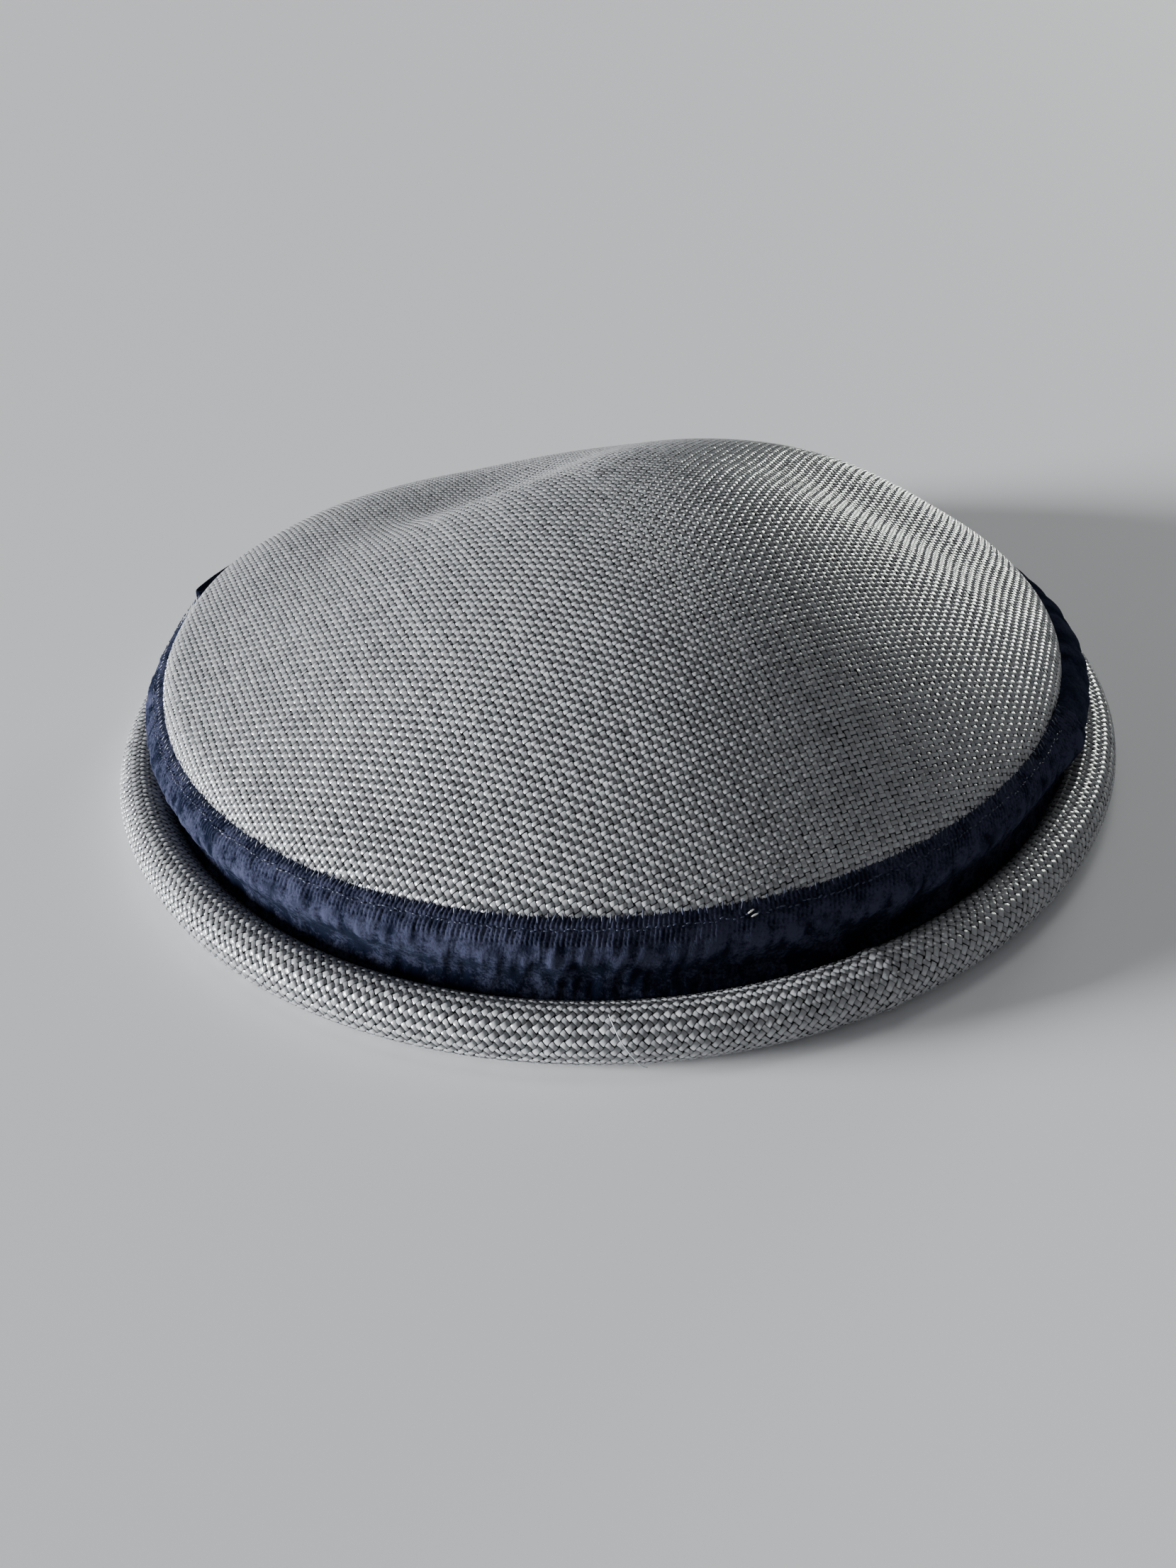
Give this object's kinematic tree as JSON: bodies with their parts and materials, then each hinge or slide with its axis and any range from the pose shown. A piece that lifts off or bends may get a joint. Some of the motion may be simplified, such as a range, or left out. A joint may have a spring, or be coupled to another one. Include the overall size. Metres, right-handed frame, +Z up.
{
  "type": "saucer hat in woven straw cloth with velvet trim",
  "caption": "Small round saucer hat: shallow dented crown of woven straw cloth over a rolled bias brim, with a folded velvet band in the groove between them.",
  "frame": {"origin": "middle of the hat on the plane that it rests on", "axes": "+Z up through the crown, back of the hat towards -Y, +X to the right seen from behind"},
  "size_m": [0.2262, 0.2262, 0.0585],
  "materials": {
    "straw_cloth": "woven shiny straw strips, grey-blue",
    "brim_straw": "bias-cut woven straw strips, grey-blue",
    "ribbed_velvet": "navy velvet with a ribbed, stitched edge",
    "smooth_velvet": "navy velvet, smooth pile with a soft sheen"
  },
  "bodies": {
    "root": {"crown": "straw_cloth", "brim_roll": "brim_straw", "velvet_band": "ribbed_velvet", "velvet_strip": "smooth_velvet", "velvet_loop": "smooth_velvet"}
  },
  "joints": []
}
